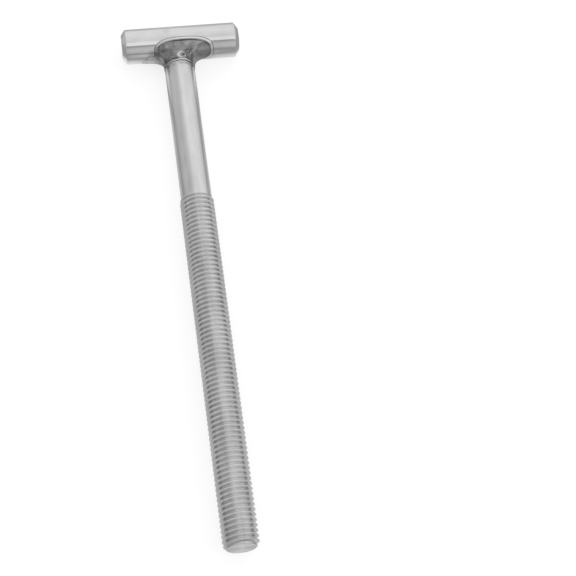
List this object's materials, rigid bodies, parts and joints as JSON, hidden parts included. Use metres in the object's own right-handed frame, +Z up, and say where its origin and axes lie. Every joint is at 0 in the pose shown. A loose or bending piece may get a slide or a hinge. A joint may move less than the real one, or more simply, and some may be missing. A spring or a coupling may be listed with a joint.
{
  "type": "welded t bolt",
  "caption": "Long T-bolt: a round cross bar fillet-welded across the head end of a shank that is plain near the head and threaded to a chamfered tip.",
  "frame": {"origin": "where the shank's axis meets the cross bar's axis", "axes": "the shank runs along -Y to its threaded tip, the cross bar runs along X, and +Z is up as the bolt lies"},
  "size_m": [0.043, 0.2, 0.0126],
  "materials": {
    "shank_steel": "bright drawn plain length and rolled thread",
    "bar_steel": "satin, drawn along the bar",
    "weld_metal": "dull grey, rippled, as welded"
  },
  "bodies": {
    "root": {"threaded_shank": "shank_steel", "cross_bar": "bar_steel", "fillet_weld": "weld_metal"}
  },
  "joints": []
}
